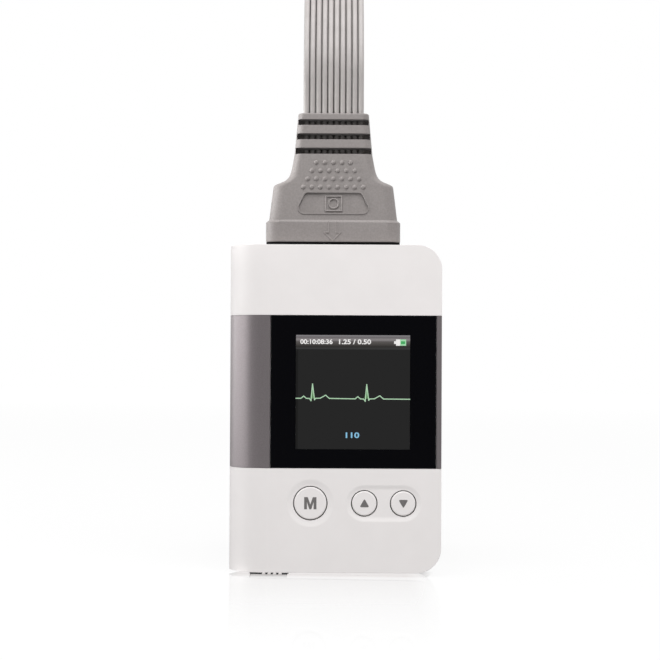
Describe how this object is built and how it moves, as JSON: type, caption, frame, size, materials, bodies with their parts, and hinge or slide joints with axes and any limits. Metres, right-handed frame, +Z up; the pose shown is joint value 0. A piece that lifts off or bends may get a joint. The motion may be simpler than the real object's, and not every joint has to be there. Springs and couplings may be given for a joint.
{
  "type": "holter monitor",
  "caption": "Upright pocket ECG recorder with a round battery spine, square display, three keys and a detachable multi-lead plug.",
  "frame": {"origin": "middle of the recorder's base, halfway between its sides and between its faces", "axes": "+Z up along the recorder to the lead plug, the screen faces -Y, +X to the right as the screen is read"},
  "size_m": [0.0571, 0.1303, 0.1504],
  "materials": {
    "white_plastic": "satin",
    "grey_band": "satin metallic",
    "black_lens": "gloss",
    "display_glass": "gloss, emissive",
    "dark_plastic": "matte",
    "flex_film": "satin",
    "board": "satin",
    "steel": "plain",
    "cell_wrap": "gloss",
    "grey_overmould": "matte",
    "lead_jacket": "satin"
  },
  "bodies": {
    "recorder": {"front_housing": "white_plastic", "rear_housing": "white_plastic", "spine_band": "grey_band", "side_band": "grey_band", "rear_band": "grey_band", "display_lens": "black_lens", "display_module": "display_glass", "display_frame": "dark_plastic", "display_flex": "flex_film", "main_board": "board", "mode_switch": "dark_plastic", "up_switch": "dark_plastic", "down_switch": "dark_plastic", "card_socket": "steel", "memory_card": "dark_plastic", "backup_cell": "steel", "buzzer": "dark_plastic", "amplifier_shield": "steel", "lead_socket": "dark_plastic", "case_screw_1": "steel", "case_screw_2": "steel", "case_screw_3": "steel", "case_screw_4": "steel", "battery_cell": "cell_wrap", "battery_spring": "steel", "spring_plate": "steel", "top_plate": "steel", "door_hinge_pin": "steel", "lead_coil": "lead_jacket", "lead_tails": "lead_jacket", "snap_connector_1": "grey_overmould", "snap_connector_2": "grey_overmould", "snap_connector_3": "grey_overmould", "snap_connector_4": "grey_overmould", "snap_connector_5": "grey_overmould", "snap_connector_6": "grey_overmould", "snap_connector_7": "grey_overmould", "snap_connector_8": "grey_overmould", "snap_connector_9": "grey_overmould", "snap_connector_10": "grey_overmould"},
    "mode_key": {"mode_button": "white_plastic"},
    "up_key": {"up_button": "white_plastic"},
    "down_key": {"down_button": "white_plastic"},
    "door": {"battery_door": "white_plastic", "door_band": "grey_band"},
    "latch": {"battery_latch": "dark_plastic"},
    "lead_plug": {"plug_overmould": "grey_overmould", "plug_insert": "dark_plastic", "lead_bundle": "lead_jacket"}
  },
  "joints": [
    {"name": "mode_press", "type": "slide", "parent": "recorder", "child": "mode_key", "axis": [0, 1, 0], "range_m": [0, 0.00045], "stiffness_N_per_m": 2500, "springref_m": -0.0004},
    {"name": "up_press", "type": "slide", "parent": "recorder", "child": "up_key", "axis": [0, 1, 0], "range_m": [0, 0.00045], "stiffness_N_per_m": 2500, "springref_m": -0.0004},
    {"name": "down_press", "type": "slide", "parent": "recorder", "child": "down_key", "axis": [0, 1, 0], "range_m": [0, 0.00045], "stiffness_N_per_m": 2500, "springref_m": -0.0004},
    {"name": "door_hinge", "type": "hinge", "parent": "recorder", "child": "door", "pos_m": [-0.007, 0.0084, 0.0319], "axis": [0, 0, -1], "range_deg": [0, 85]},
    {"name": "latch_slide", "type": "slide", "parent": "recorder", "child": "latch", "axis": [-1, 0, 0], "range_m": [0, 0.0023]},
    {"name": "plug_pull", "type": "slide", "parent": "recorder", "child": "lead_plug", "axis": [0, 0, 1], "range_m": [0, 0.012]}
  ]
}
